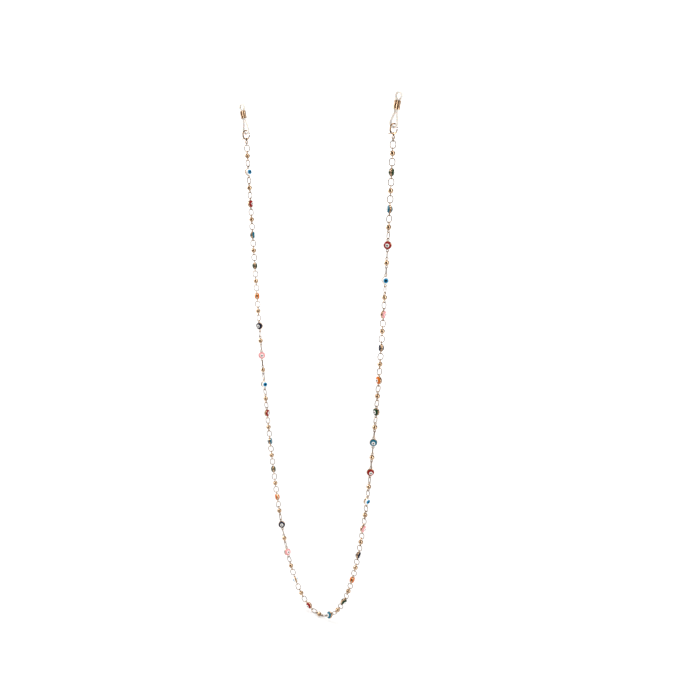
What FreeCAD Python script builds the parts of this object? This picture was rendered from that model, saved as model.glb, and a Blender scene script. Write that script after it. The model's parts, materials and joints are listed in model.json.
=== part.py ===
import FreeCAD, Part

import math
import os

import Sketcher
from FreeCAD import Placement, Rotation, Vector

# Beaded chain that holds a pair of glasses round the neck.
#
# Frame: millimetres, +Z up.  The glasses hold the chain by two elastic loops, one on each
# temple arm.  The origin is halfway between the middles of those two loops, +X runs from
# the left loop to the right loop and +Y points back along the temple arms.  The chain
# hangs in the plane y = 0.
#
# From each loop down: elastic loop, crimp sleeve, lobster clasp (body, lever, pin, spring),
# jump ring, then link ring, gold ball, link ring, enamel eye, and so on round the bottom
# and up to the other clasp.

# name, value in millimetres or degrees, or a formula of other sizes
SIZES = [
    ("temple_gap", 135.0),  # between the middles of the two temple arms
    ("loop_lean", 12.0),  # the elastic loops lean inwards at the bottom, degrees
    ("arm_radius", 1.4),  # temple arm that the upper loop grips
    ("cord_diameter", 1.7),  # elastic cord
    ("land_depth", 0.12),  # how far the arm presses into the cord
    ("leg_play", 0.03),  # each cord leg from the middle of the sleeve
    ("leg_offset", "=cord_diameter / 2 + leg_play"),  # to the middle of the leg
    ("neck_bend", 1.0),  # bend of the cord above the sleeve
    ("upper_bend", "=arm_radius + cord_diameter / 2 - land_depth"),  # round the temple arm
    ("neck_play", 0.1),  # top of the sleeve below the bends above it
    ("sleeve_top", "=sqrt((upper_bend + neck_bend)^2 - (leg_offset + neck_bend)^2) + neck_play"),
    ("sleeve_length", 5.2),
    ("sleeve_wall", 0.45),
    ("sleeve_play", 0.05),  # all round the two legs
    ("sleeve_seam", 0.2),
    ("sleeve_travel", 1.5),  # straight cord below the sleeve
    ("spread_bend", 3.0),  # bend of the cord where the legs part
    ("spread_angle", 18.0),  # each leg from the vertical, degrees
    ("lower_loop_radius", 2.65),  # middle of the cord at the bottom of the loop
    ("wire", 0.5),  # thickness of every ring and eyelet
    ("wire_play", 0.1),  # between two rings that pull on each other
    ("eyelet_radius", 0.8),  # middle of the wire
    ("eyelet_sink", 0.15),  # how far an eyelet is let into its bead
    ("eye_radius", 2.6),
    ("eye_band", 1.3),  # width of the gold band round an eye
    ("eye_hole", 2.2),
    ("enamel_radius", 2.45),  # foot of the enamel dome
    ("enamel_dome", 1.3),  # height of the enamel dome above the band
    ("enamel_play", 0.01),
    ("ball_radius", 1.75),
    ("link_length", 4.6),  # along the middle of the wire
    ("link_width", 3.5),
    ("ring_cut", 0.08),  # saw cut where a ring is opened
    ("jump_radius", 1.15),
    ("claw_play", 0.85),  # between the cord and the inside of the clasp's claw
    ("claw_wall", 1.05),
    ("claw_hole", "=cord_diameter / 2 + claw_play"),  # radius inside the claw
    ("claw_radius", "=claw_hole + claw_wall"),
    ("claw_half", 0.7),  # half the straight part of the claw
    ("claw_thickness", 1.25),
    ("cord_rest", 0.8),  # middle of the cord above the middle of the claw
    ("gate_reach", "=claw_radius"),  # tip of the lever from the pin
    ("gate_rise", 0.85),  # foot of the lever's arm above the pin
    ("gate_bottom", "=pin_height + gate_rise"),
    ("slot_width", 0.7),
    ("lever_thickness", 0.5),
    ("pin_across", 0.6),
    ("pin_lift", 0.15),  # pin above the bottom of the claw
    ("pin_height", "=pin_lift - claw_radius"),
    ("pin_radius", 0.22),
    ("boss_radius", 0.5),
    ("tab_length", 0.55),  # thumb tab outside the claw
    ("tab_reach", "=claw_radius + tab_length"),
    ("tab_thickness", 0.5),
    ("spring_wire", 0.1),
    ("spring_radius", 0.4),
    ("spring_seat", -0.05),  # floor of the lever's pocket for the spring
    ("tail_drop", 2.25),  # middle of the tail ring below the claw
    ("tail_height", "=-(claw_radius + tail_drop)"),
    ("tail_radius", 0.9),
    ("tail_wire", 0.6),
]

UNITS_PER_SIDE = 16  # enamel eyes on each side of the bottom

# How each enamel eye is turned about the chain, in degrees, from the top of the right side
# to the bottom and then from the top of the left side to the bottom.  At 0 it faces -Y.
RIGHT_TURNS = [116, 141, 28, 46, 96, 136, 166, 171, 36, 49, 77, 92, 103, 113, 79, 160]
LEFT_TURNS = [82, 101, 116, 134, 131, 16, 49, 71, 96, 121, 136, 146, 45, 75, 144, 172]
CLASP_TURN = 60

# Stretches of chain between two pivots: lowest bead and highest bead of each, where bead 0
# is the bottom ball, whole numbers are balls and halves are eyes.
STRETCHES = {5: (2.0, 4.5), 4: (5.0, 7.5), 3: (8.0, 10.5), 2: (11.0, 13.5), 1: (14.0, 16.0)}
BOTTOM_REACH = 1.5

doc = FreeCAD.newDocument("glasses_chain")


def make_sheet():
    """The spreadsheet that every size is read from."""
    sheet = doc.addObject("Spreadsheet::Sheet", "Sizes")
    for row, (name, value) in enumerate(SIZES, start=1):
        sheet.set(f"A{row}", name)
        sheet.set(f"B{row}", str(value))
        sheet.setAlias(f"B{row}", name)
    doc.recompute()
    return sheet


sheet = make_sheet()


def size(name):
    """One size from the sheet, as a number."""
    return float(sheet.get(name))


def bind(obj, **formulas):
    """Bind properties to the sheet.  Names in a formula are the sheet's own."""
    for prop, formula in formulas.items():
        text = str(formula)
        for name, _ in sorted(SIZES, key=lambda entry: -len(entry[0])):
            text = text.replace(f"{{{name}}}", f"Sizes.{name}")
        obj.setExpression(prop, text)
    return obj


def put(obj, x="0", y="0", z="0", turn=None):
    """Place a primitive: formulas for its position, and a fixed rotation."""
    if turn is not None:
        obj.Placement = Placement(Vector(0, 0, 0), turn)
    for prop, formula in (("x", x), ("y", y), ("z", z)):
        bind(obj, **{f"Placement.Base.{prop}": f"({formula}) * 1 mm"})
    return obj


ABOUT_X = Rotation(Vector(1, 0, 0), 90)  # turns a primitive's Z axis to -Y
ALONG_Y = Rotation(Vector(1, 0, 0), -90)  # turns a primitive's Z axis to +Y


def length(formula):
    return f"({formula}) * 1 mm"


def cylinder(name, radius, height):
    obj = doc.addObject("Part::Cylinder", name)
    return bind(obj, Radius=length(radius), Height=length(height))


def torus(name, radius, thickness):
    obj = doc.addObject("Part::Torus", name)
    return bind(obj, Radius1=length(radius), Radius2=length(f"({thickness}) / 2"))


def box(name, x, y, z):
    """A box from x[0] to x[1] and so on, each end a formula."""
    obj = doc.addObject("Part::Box", name)
    bind(
        obj,
        Length=length(f"({x[1]}) - ({x[0]})"),
        Width=length(f"({y[1]}) - ({y[0]})"),
        Height=length(f"({z[1]}) - ({z[0]})"),
    )
    return put(obj, x[0], y[0], z[0])


def fuse(name, *shapes):
    obj = doc.addObject("Part::MultiFuse", name)
    obj.Shapes = list(shapes)
    obj.Refine = True
    return obj


def cut(name, base, tool):
    obj = doc.addObject("Part::Cut", name)
    obj.Base = base
    obj.Tool = tool
    return obj


def common(name, first, second):
    obj = doc.addObject("Part::MultiCommon", name)
    obj.Shapes = [first, second]
    return obj


def stadium_flat(name, radius, half, thickness):
    """A flat plate with round ends at top and bottom, its thickness along Y."""
    ends = []
    for end, sign in (("top", ""), ("foot", "-")):
        disc = cylinder(f"{name}_{end}", radius, thickness)
        ends.append(put(disc, "0", f"-({thickness}) / 2", f"{sign}({half})", ALONG_Y))
    middle = box(
        f"{name}_middle",
        (f"-({radius})", radius),
        (f"-({thickness}) / 2", f"({thickness}) / 2"),
        (f"-({half})", half),
    )
    return fuse(name, *ends, middle)


def stadium_tube(name, radius, half, bottom, top):
    """An upright bar with an oval section, its round ends to left and right."""
    ends = []
    for end, sign in (("right", ""), ("left", "-")):
        bar = cylinder(f"{name}_{end}", radius, f"({top}) - ({bottom})")
        ends.append(put(bar, f"{sign}({half})", "0", bottom))
    middle = box(
        f"{name}_middle", (f"-({half})", half), (f"-({radius})", radius), (bottom, top)
    )
    return fuse(name, *ends, middle)


# ---------------------------------------------------------------- chain pieces


def make_eyelets(name, reach):
    """Two eyelets, above and below a bead that reaches this far from its middle."""
    height = f"{reach} + {{eyelet_radius}} + {{wire}} / 2 - {{eyelet_sink}}"
    pair = []
    for end, sign in (("upper", ""), ("lower", "-")):
        ring = torus(f"{name}_{end}_eyelet", "{eyelet_radius}", "{wire}")
        pair.append(put(ring, "0", "0", f"{sign}({height})", ABOUT_X))
    return pair


def make_eye_frame():
    """Gold band with an eyelet above and below; the band's axis lies along Y."""
    band = cylinder("eye_band_outside", "{eye_radius}", "{eye_band}")
    put(band, "0", "-{eye_band} / 2", "0", ALONG_Y)
    solid = fuse("eye_band_with_eyelets", band, *make_eyelets("eye", "{eye_radius}"))
    hole = cylinder("eye_band_hole", "{eye_hole}", "{eye_band} + 2")
    put(hole, "0", "-{eye_band} / 2 - 1", "0", ALONG_Y)
    return cut("one_eye_frame", solid, hole)


def make_enamel():
    """Enamel eye: a waist through the gold band, and a dome on each face.

    Half the profile is drawn from the middle of one dome to the middle of the other and
    turned about the Y axis.
    """
    body = doc.addObject("PartDesign::Body", "one_enamel_eye")
    plane = next(f for f in body.Origin.OriginFeatures if f.Role == "XY_Plane")
    sketch = body.newObject("Sketcher::SketchObject", "enamel_profile")
    sketch.AttachmentSupport = [(plane, "")]
    sketch.MapMode = "FlatFace"
    waist = size("eye_hole") - size("enamel_play")
    foot = size("enamel_radius")
    half = size("eye_band") / 2 + size("enamel_play")
    top = half + size("enamel_dome")
    corners = [(0, -top), (0, top), (foot, half), (waist, half), (waist, -half), (foot, -half)]
    points = [Vector(x, y, 0) for x, y in corners]
    round_radius = (foot**2 + (top - half) ** 2) / (2 * (top - half))
    centre = top - round_radius
    start = math.atan2(half - centre, foot)
    edges = [
        Part.LineSegment(points[0], points[1]),
        Part.ArcOfCircle(
            Part.Circle(Vector(0, centre, 0), Vector(0, 0, 1), round_radius), start, math.pi / 2
        ),
        Part.LineSegment(points[2], points[3]),
        Part.LineSegment(points[3], points[4]),
        Part.LineSegment(points[4], points[5]),
        Part.ArcOfCircle(
            Part.Circle(Vector(0, -centre, 0), Vector(0, 0, 1), round_radius),
            -math.pi / 2,
            -start,
        ),
    ]
    for edge in edges:
        sketch.addGeometry(edge, False)
    axis, upper, under_upper, side, under_lower, lower = range(6)
    first, last, middle = 1, 2, 3
    joins = [
        (axis, last, upper, last),
        (upper, first, under_upper, first),
        (under_upper, last, side, first),
        (side, last, under_lower, first),
        (under_lower, last, lower, last),
        (lower, first, axis, first),
    ]
    for join in joins:
        sketch.addConstraint(Sketcher.Constraint("Coincident", *join))
    sketch.addConstraint(Sketcher.Constraint("PointOnObject", axis, first, -2))
    sketch.addConstraint(Sketcher.Constraint("PointOnObject", axis, last, -2))
    sketch.addConstraint(Sketcher.Constraint("PointOnObject", upper, middle, -2))
    sketch.addConstraint(Sketcher.Constraint("PointOnObject", lower, middle, -2))
    sketch.addConstraint(Sketcher.Constraint("Horizontal", under_upper))
    sketch.addConstraint(Sketcher.Constraint("Horizontal", under_lower))
    sketch.addConstraint(Sketcher.Constraint("Vertical", side))
    sizes = [
        ("waist", "DistanceX", (-1, 1, side, first), waist, "{eye_hole} - {enamel_play}"),
        ("upper_foot", "DistanceX", (-1, 1, upper, first), foot, "{enamel_radius}"),
        ("lower_foot", "DistanceX", (-1, 1, lower, last), foot, "{enamel_radius}"),
        ("upper_half", "DistanceY", (-1, 1, side, first), half, "{eye_band} / 2 + {enamel_play}"),
        ("lower_half", "DistanceY", (side, last, -1, 1), half, "{eye_band} / 2 + {enamel_play}"),
        (
            "upper_top",
            "DistanceY",
            (-1, 1, axis, last),
            top,
            "{eye_band} / 2 + {enamel_play} + {enamel_dome}",
        ),
        (
            "lower_top",
            "DistanceY",
            (axis, first, -1, 1),
            top,
            "{eye_band} / 2 + {enamel_play} + {enamel_dome}",
        ),
    ]
    for name, kind, where, value, formula in sizes:
        index = sketch.addConstraint(Sketcher.Constraint(kind, *where, value))
        sketch.renameConstraint(index, name)
        bind(sketch, **{f"Constraints.{name}": length(formula)})
    turned = body.newObject("PartDesign::Revolution", "enamel_turned")
    turned.Profile = sketch
    turned.ReferenceAxis = (sketch, ["V_Axis"])
    turned.Angle = 360
    return body


def make_ball():
    ball = doc.addObject("Part::Sphere", "ball")
    bind(ball, Radius=length("{ball_radius}"))
    return fuse("one_gold_ball", ball, *make_eyelets("ball", "{ball_radius}"))


def make_link_ring():
    """Oval ring of round wire in the plane y = 0, cut open halfway up one side."""
    bend = "{link_width} / 2"
    half = "({link_length} - {link_width}) / 2"
    pieces = []
    for end, sign, turn in (("top", "", 90), ("foot", "-", -90)):
        arc = torus(f"link_{end}", bend, "{wire}")
        arc.Angle3 = 180
        pieces.append(put(arc, "0", "0", f"{sign}({half})", Rotation(Vector(1, 0, 0), turn)))
    for side, sign in (("right", ""), ("left", "-")):
        bar = cylinder(f"link_{side}", "{wire} / 2", f"2 * ({half})")
        pieces.append(put(bar, f"{sign}({bend})", "0", f"-({half})"))
    ring = fuse("closed_link", *pieces)
    gap = box("link_cut", ("0", bend + " + 1"), ("-1", "1"), ("-{ring_cut} / 2", "{ring_cut} / 2"))
    return cut("one_link_ring", ring, gap)


def make_jump_ring():
    ring = put(torus("closed_jump_ring", "{jump_radius}", "{wire}"), turn=ABOUT_X)
    gap = box(
        "jump_cut",
        ("0", "{jump_radius} + 1"),
        ("-1", "1"),
        ("-{ring_cut} / 2", "{ring_cut} / 2"),
    )
    return cut("one_jump_ring", ring, gap)


# ---------------------------------------------------------------- elastic loop and sleeve


def loop_levels():
    """Heights and sizes of the elastic loop's path, in its own frame with the arm at 0, 0."""
    cord = size("cord_diameter") / 2
    leg = size("leg_offset")
    upper = size("arm_radius") + cord - size("land_depth")
    neck = size("neck_bend")
    neck_z = -math.sqrt((upper + neck) ** 2 - (leg + neck) ** 2)
    part_z = -(size("sleeve_top") + size("sleeve_length") + size("sleeve_travel"))
    spread = size("spread_bend")
    angle = math.radians(size("spread_angle"))
    lower = size("lower_loop_radius")
    bend_x = leg + spread * (1 - math.cos(angle))
    bend_z = part_z - spread * math.sin(angle)
    slant_x = lower * math.cos(angle)
    slant_z = bend_z - (slant_x - bend_x) / math.tan(angle)
    centre_z = slant_z - lower * math.sin(angle)
    return {
        "cord": cord,
        "leg": leg,
        "upper": upper,
        "neck": neck,
        "neck_z": neck_z,
        "part_z": part_z,
        "spread": spread,
        "angle": angle,
        "lower": lower,
        "bend": (bend_x, bend_z),
        "slant": (slant_x, slant_z),
        "centre_z": centre_z,
        "bottom_z": centre_z - lower,
    }


def flat_point(x, z):
    return Vector(x, 0, z)


def arc_about(centre, start, end, clockwise_side):
    """Arc from start to end about centre; its middle lies towards clockwise_side."""
    radius = (start - centre).Length
    middle = (start + end) * 0.5 - centre
    middle.normalize()
    if middle.dot(clockwise_side) < 0:
        middle = middle * -1
    return Part.Arc(start, centre + middle * radius, end).toShape()


def loop_half(way, side):
    """The loop's path down one side, from the neck to the foot of the slanted leg."""
    k = way
    neck_centre = flat_point(side * (k["leg"] + k["neck"]), k["neck_z"])
    share = k["upper"] / (k["upper"] + k["neck"])
    shoulder = neck_centre * share
    neck_end = flat_point(side * k["leg"], k["neck_z"])
    part = flat_point(side * k["leg"], k["part_z"])
    spread_centre = flat_point(side * (k["leg"] + k["spread"]), k["part_z"])
    bend = flat_point(side * k["bend"][0], k["bend"][1])
    slant = flat_point(side * k["slant"][0], k["slant"][1])
    inwards = Vector(-side, 0, 0)
    edges = [
        arc_about(neck_centre, shoulder, neck_end, inwards),
        Part.LineSegment(neck_end, part).toShape(),
        arc_about(spread_centre, part, bend, inwards),
        Part.LineSegment(bend, slant).toShape(),
    ]
    return edges, shoulder, slant


def make_elastic_loop():
    """One closed loop of round cord, with a flat land where it grips the temple arm.

    No primitive follows this path, so the cord is swept along arcs and lines here.  It is
    swept in two halves that meet at the top and at the bottom.
    """
    way = loop_levels()
    top = flat_point(0, way["upper"])
    bottom = flat_point(0, way["bottom_z"])
    centre = flat_point(0, way["centre_z"])
    halves = []
    for side in (1, -1):
        edges, shoulder, slant = loop_half(way, side)
        over = arc_about(Vector(0, 0, 0), top, shoulder, Vector(side, 0, 0))
        under = arc_about(centre, slant, bottom, Vector(side, 0, -1))
        path = Part.Wire([over] + edges + [under])
        circle = Part.Circle(top, Vector(side, 0, 0), way["cord"])
        section = Part.Wire([circle.toShape()])
        half = path.makePipeShell([section], True, True)
        expected = math.pi * way["cord"] ** 2 * path.Length
        print(f"cord half: {half.Volume:.2f} mm3 of {expected:.2f}, path {path.Length:.2f} mm")
        halves.append(half)
    cord = halves[0].fuse(halves[1]).removeSplitter()
    arm = Part.makeCylinder(size("arm_radius"), 10, Vector(0, -5, 0), Vector(0, 1, 0))
    loop = doc.addObject("Part::Feature", "one_elastic_loop")
    loop.Shape = cord.cut(arm)
    return loop


def make_sleeve():
    """Oval metal tube that holds the two legs of the loop, with a seam in front."""
    inner = "{cord_diameter} / 2 + {sleeve_play}"
    foot = "-{sleeve_top} - {sleeve_length}"
    outside = stadium_tube(
        "sleeve_outside", f"{inner} + {{sleeve_wall}}", "{leg_offset}", foot, "-{sleeve_top}"
    )
    inside = stadium_tube(
        "sleeve_inside", inner, "{leg_offset}", f"{foot} - 1", "-{sleeve_top} + 1"
    )
    tube = cut("sleeve_tube", outside, inside)
    seam = box(
        "sleeve_seam_cut",
        ("-{sleeve_seam} / 2", "{sleeve_seam} / 2"),
        ("-{cord_diameter} - 1", "0"),
        (f"{foot} - 1", "-{sleeve_top} + 1"),
    )
    return cut("one_crimp_sleeve", tube, seam)


# ---------------------------------------------------------------- lobster clasp


def about_pin(name, radius):
    """A disc round the lever's pin, as far as the lever's tip sweeps."""
    disc = cylinder(name, radius, "4")
    return put(disc, "{pin_across}", "-2", "{pin_height}", ALONG_Y)


def make_clasp_body():
    """Flat claw with a gap for the lever, a slot that holds it, and a tail ring."""
    claw = stadium_flat("claw", "{claw_radius}", "{claw_half}", "{claw_thickness}")
    neck = box(
        "claw_neck",
        ("-0.75", "0.75"),
        ("-{claw_thickness} / 2", "{claw_thickness} / 2"),
        ("{tail_height} + {tail_radius} - {tail_wire} / 2", "-{claw_half} - {claw_radius} + 0.3"),
    )
    tail = torus("tail_ring", "{tail_radius}", "{tail_wire}")
    put(tail, "0", "0", "{tail_height}", ABOUT_X)
    blank = fuse("clasp_blank", claw, neck, tail)
    hole = stadium_flat("claw_opening", "{claw_hole}", "{claw_half} + 0.05", "{claw_thickness} + 2")
    gate_side = box("gate_side", ("0.9", "{claw_radius} + 1"), ("-2", "2"), ("{gate_bottom}", "1"))
    gate = common("gate_gap", gate_side, about_pin("gate_sweep", "{gate_reach} + 0.06"))
    slot_side = ("-{slot_width} / 2", "{slot_width} / 2")
    slot_foot = "{pin_height} - {boss_radius} - 0.1"
    slot = box("lever_slot", ("-{claw_radius} - 1", "{claw_radius} + 1"), slot_side, (slot_foot, "-1.5"))
    swing = box("tab_slot", ("-{claw_radius} - 1", "0.1"), slot_side, ("{pin_height} - 1.3", "-1.5"))
    pin = cylinder("pin_hole", "{pin_radius} + 0.01", "{claw_thickness} + 2")
    put(pin, "{pin_across}", "-{claw_thickness} / 2 - 1", "{pin_height}", ALONG_Y)
    return cut("one_clasp_body", blank, fuse("clasp_cuts", hole, gate, slot, swing, pin))


def make_lever():
    """Gate lever: an arm up to the tip of the claw, a boss on the pin and a thumb tab."""
    thick = "{lever_thickness}"
    outer = stadium_flat("arm_outside", "{claw_radius} - 0.15", "{claw_half}", thick)
    inner = stadium_flat("arm_inside", "{claw_hole} + 0.05", "{claw_half} + 0.05", "4")
    band = cut("arm_band", outer, inner)
    right_side = box("arm_side", ("0.9", "4"), ("-2", "2"), ("-4", "2"))
    arm = common("lever_arm", common("arm_right", band, right_side), about_pin("arm_sweep", "{gate_reach}"))
    boss = cylinder("lever_boss", "{boss_radius}", thick)
    put(boss, "{pin_across}", f"-{thick} / 2", "{pin_height}", ALONG_Y)
    across = (f"-{thick} / 2", f"{thick} / 2")
    tab_foot = "{pin_height} - 0.4"
    tab = box(
        "lever_tab",
        ("-{tab_reach}", "{pin_across}"),
        across,
        (tab_foot, f"{tab_foot} + {{tab_thickness}}"),
    )
    pad = box(
        "lever_pad",
        ("-{tab_reach}", "-{tab_reach} + 0.6"),
        ("-0.6", "0.6"),
        (f"{tab_foot} - 0.15", f"{tab_foot} + {{tab_thickness}} + 0.15"),
    )
    blank = fuse("lever_blank", arm, boss, tab, pad)
    hole = cylinder("lever_hole", "{pin_radius} + 0.04", "4")
    put(hole, "{pin_across}", "-2", "{pin_height}", ALONG_Y)
    pocket = cylinder("spring_pocket", "{boss_radius} + 0.12", "2")
    put(pocket, "{pin_across}", "{spring_seat}", "{pin_height}", ALONG_Y)
    return cut("one_clasp_lever", blank, fuse("lever_cuts", hole, pocket))


def make_pin():
    pin = cylinder("one_clasp_pin", "{pin_radius}", "{claw_thickness}")
    return put(pin, "{pin_across}", "-{claw_thickness} / 2", "{pin_height}", ALONG_Y)


def make_spring():
    """The body of the return spring: one open turn of fine wire round the pin."""
    spring = torus("one_clasp_spring", "{spring_radius}", "{spring_wire}")
    spring.Angle3 = 330
    seat = "{spring_seat} + {spring_wire} / 2 + 0.03"
    return put(spring, "{pin_across}", seat, "{pin_height}", ALONG_Y)


# ---------------------------------------------------------------- how the chain hangs


def steps():
    """How far apart the two pulling points of each piece are."""
    near = size("wire") + size("wire_play")
    eyelet = 2 * size("eyelet_radius") + size("wire") / 2 - size("eyelet_sink")
    tail_near = (size("tail_wire") + size("wire")) / 2 + size("wire_play")
    return {
        "eye": 2 * (size("eye_radius") + eyelet) - near,
        "ball": 2 * (size("ball_radius") + eyelet) - near,
        "link": size("link_length") - near,
        "jump": 2 * size("jump_radius") - (near + tail_near) / 2,
        "clasp": size("cord_rest") - size("tail_height") + size("tail_radius") - tail_near / 2,
        "tail_near": tail_near,
    }


def on_curve(spread, along):
    """A hanging chain's curve, measured from its lowest point along the chain."""
    x = spread * math.asinh(along / spread)
    return Vector(x, 0, math.hypot(along, spread) - spread)


def next_along(spread, along, reach):
    """The point further up the curve that is this far from the point at along."""
    here = on_curve(spread, along)
    low, high = along, along + 1.5 * reach
    for _ in range(60):
        middle = (low + high) / 2
        if (on_curve(spread, middle) - here).Length < reach:
            low = middle
        else:
            high = middle
    return high


def strand_order():
    """The pieces of one side from the bottom ball upwards, as (kind, bead number)."""
    order = []
    for half in range(1, 2 * UNITS_PER_SIDE + 1):
        order.append(("link", half / 2))
        order.append(("eye" if half % 2 else "ball", half / 2))
    order.append(("link", UNITS_PER_SIDE + 0.5))
    order.append(("jump", UNITS_PER_SIDE + 0.5))
    order.append(("clasp", UNITS_PER_SIDE + 0.5))
    return order


def hang(spread, reach):
    """The pulling points of one side for a curve of this spread, bottom ball first."""
    along = reach["ball"] / 2
    points = [on_curve(spread, along)]
    for kind, _ in strand_order():
        along = next_along(spread, along, reach[kind])
        points.append(on_curve(spread, along))
    return points


def solve_hang(reach, half_gap):
    """The curve whose top point lies half the gap from the middle."""
    low, high = 5.0, 60.0
    for _ in range(50):
        spread = (low + high) / 2
        if hang(spread, reach)[-1].x < half_gap:
            low = spread
        else:
            high = spread
    return spread, hang(spread, reach)


def wrap(angle):
    """A turn between -90 and 90 degrees: a ring looks the same after half a turn."""
    return (angle + 90) % 180 - 90


def turns_of(eye_turns):
    """How each piece of one side is turned, by (kind, bead number), without the bottom.

    Every piece sits square to the next, give or take an equal share of the twist between
    one eye and the next.
    """
    count = UNITS_PER_SIDE
    turns = {("clasp", count + 0.5): CLASP_TURN}
    share = wrap(eye_turns[0] - CLASP_TURN - 90) / 5
    above = [("jump", count + 0.5), ("link", count + 0.5), ("ball", count), ("link", count)]
    for place, key in enumerate(above, start=1):
        turns[key] = CLASP_TURN + place * (90 + share)
    for index, turn in enumerate(eye_turns):
        number = count - 0.5 - index
        turns[("eye", number)] = turn
        if index + 1 < count:
            share = wrap(eye_turns[index + 1] - turn) / 4
            turns[("link", number)] = turn + 90 + share
            turns[("ball", number - 0.5)] = turn + 2 * share
            turns[("link", number - 0.5)] = turn + 90 + 3 * share
    return turns


def add_bottom_turns(right, left):
    """The bottom ball and the two link rings beside it."""
    start = right[("eye", 0.5)]
    share = wrap(-left[("eye", 0.5)] - start) / 4
    right[("link", 0.5)] = start + 90 + share
    right[("ball", 0.0)] = start + 2 * share
    left[("link", 0.5)] = -(start + 90 + 3 * share)


def seat(low, high, turn, middle=0.0):
    """Placement of a piece that hangs between two pulling points, its own +Z upwards.

    turn is about its own Z axis, and middle is the height, on that axis, of the point
    halfway between its pulling points.
    """
    along = high - low
    lean = Rotation(Vector(0, 1, 0), math.degrees(math.atan2(along.x, along.z)))
    along.normalize()
    origin = (low + high) * 0.5 - along * middle
    return Placement(origin, lean * Rotation(Vector(0, 0, 1), turn))


def side_seats(points, turns, side, reach):
    """Placements of one side's pieces, by (kind, bead number).  side is 1 or -1."""
    seats = {}
    for index, (kind, number) in enumerate(strand_order()):
        low, high = points[index], points[index + 1]
        low, high = Vector(side * low.x, 0, low.z), Vector(side * high.x, 0, high.z)
        middle = 0.0
        if kind == "clasp":
            middle = size("cord_rest") - reach["clasp"] / 2
        if kind == "jump":
            middle = (size("wire") + size("wire_play") - reach["tail_near"]) / 4
        seats[(kind, number)] = seat(low, high, turns[(kind, number)], middle)
    return seats


# ---------------------------------------------------------------- nodes


def node(name, master, placements):
    """One node: a copy of the master at each placement."""
    copies = []
    for index, placement in enumerate(placements, start=1):
        copy = doc.addObject("App::Link", f"{name}_{index}")
        copy.LinkedObject = master
        copy.LinkTransform = True
        copy.Placement = placement
        copies.append(copy)
    group = doc.addObject("Part::Compound", name)
    group.Label = name
    group.Links = copies
    return group


def chain_nodes(masters, tag, seats):
    """The four nodes of one stretch of chain, from (kind, placement) pairs."""
    names = {"eye": ["eye_frames", "enamel_eyes"], "ball": ["gold_balls"], "link": ["link_rings"]}
    nodes = []
    for kind, parts in names.items():
        placements = [placement for piece, placement in seats if piece == kind]
        for part in parts:
            nodes.append(node(f"{part}_{tag}", masters[part], placements))
    return nodes


def stretch_seats(seats, lowest, highest):
    """Beads from lowest to highest and the link ring above each of them."""
    pairs = []
    for (kind, number), placement in seats.items():
        if kind == "link":
            number = number - 0.5
        if kind in ("eye", "ball", "link") and lowest <= number <= highest:
            pairs.append((kind, placement))
    return pairs


def report_pivot(name, point):
    print(f"pivot {name} {point.x:.5f} {point.y:.5f} {point.z:.5f}")


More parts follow.
